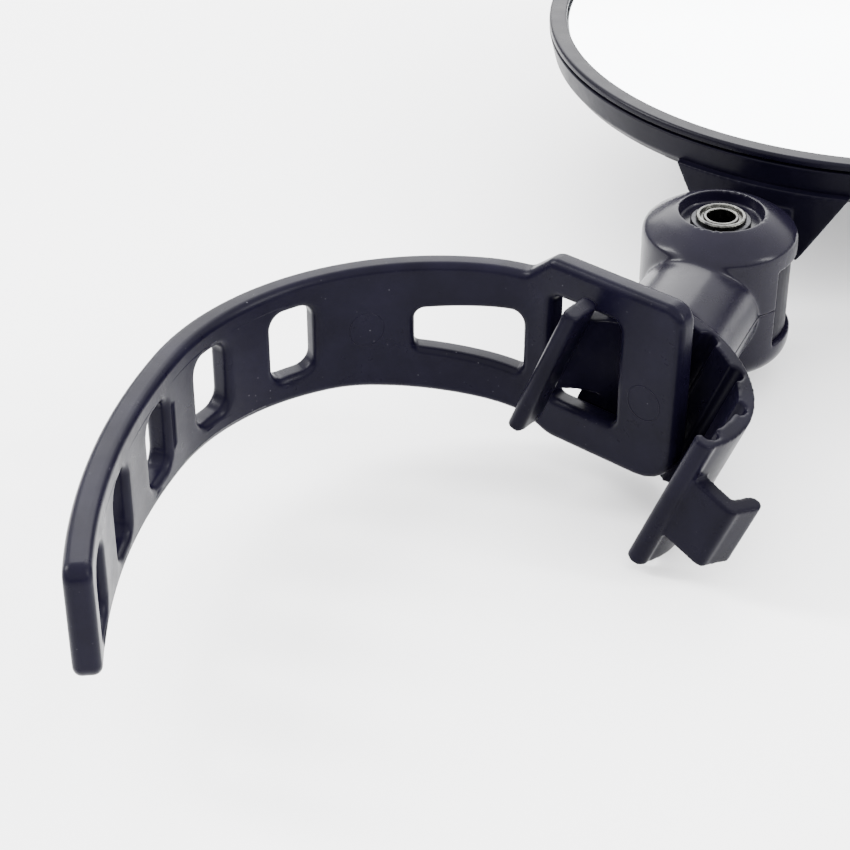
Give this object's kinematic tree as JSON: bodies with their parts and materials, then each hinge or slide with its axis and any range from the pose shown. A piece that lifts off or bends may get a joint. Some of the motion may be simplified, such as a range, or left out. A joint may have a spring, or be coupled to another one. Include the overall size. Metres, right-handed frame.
{
  "type": "bike mirror",
  "caption": "Strap-on handlebar mirror: C-shaped saddle clamp with a rubber strap, a swivel knuckle on a tubular rivet, and a round convex mirror in a shallow housing.",
  "frame": {"origin": "on the handlebar's axis, where the mirror arm's swivel axis crosses it", "axes": "+Y along the arm from the handlebar to the mirror, +Z along the rivet, out of the mirror's glass side at rest; the handlebar's axis leans 21 degrees from +Z towards +X"},
  "size_m": [0.0981, 0.2107, 0.0291],
  "materials": {
    "saddle_plastic": "satin moulded nylon, blue-black",
    "strap_rubber": "satin moulded rubber, blue-black",
    "knuckle_plastic": "glossy moulded nylon, near black",
    "ring_rubber": "dull black",
    "rivet_steel": "dark plated steel with bright flecks, rough from rolling",
    "washer_steel": "dark plated steel",
    "spring_steel": "grey spring steel",
    "housing_plastic": "satin moulded plastic, near black",
    "bezel_plastic": "semi-gloss moulded plastic, near black",
    "mirror_glass": "silvered convex glass",
    "pad_foam": "pale closed-cell foam, hidden behind the glass"
  },
  "bodies": {
    "saddle": {"saddle_clamp": "saddle_plastic"},
    "strap": {"strap": "strap_rubber"},
    "knuckle": {"knuckle_upper_shell": "knuckle_plastic", "knuckle_lower_shell": "knuckle_plastic", "swivel_o_ring": "ring_rubber", "tubular_rivet": "rivet_steel", "upper_rivet_washer": "washer_steel", "spring_washer": "spring_steel", "lower_rivet_washer": "washer_steel"},
    "mirror_head": {"mirror_housing": "housing_plastic", "bezel_ring": "bezel_plastic", "mirror_glass": "mirror_glass", "foam_pad": "pad_foam"}
  },
  "joints": [
    {"name": "arm_swivel", "type": "hinge", "parent": "saddle", "child": "knuckle", "pos_m": [0, 0.02, 0], "axis": [0, 1, 0], "continuous": true},
    {"name": "head_turn", "type": "hinge", "parent": "knuckle", "child": "mirror_head", "pos_m": [0, 0.0376, 0], "axis": [0, 0, 1], "range_deg": [-70, 70]},
    {"name": "strap_swing", "type": "hinge", "parent": "saddle", "child": "strap", "pos_m": [-0.0078, 0.0087, 0.003], "axis": [0.3584, 0, 0.9336], "range_deg": [-17, 3]}
  ]
}
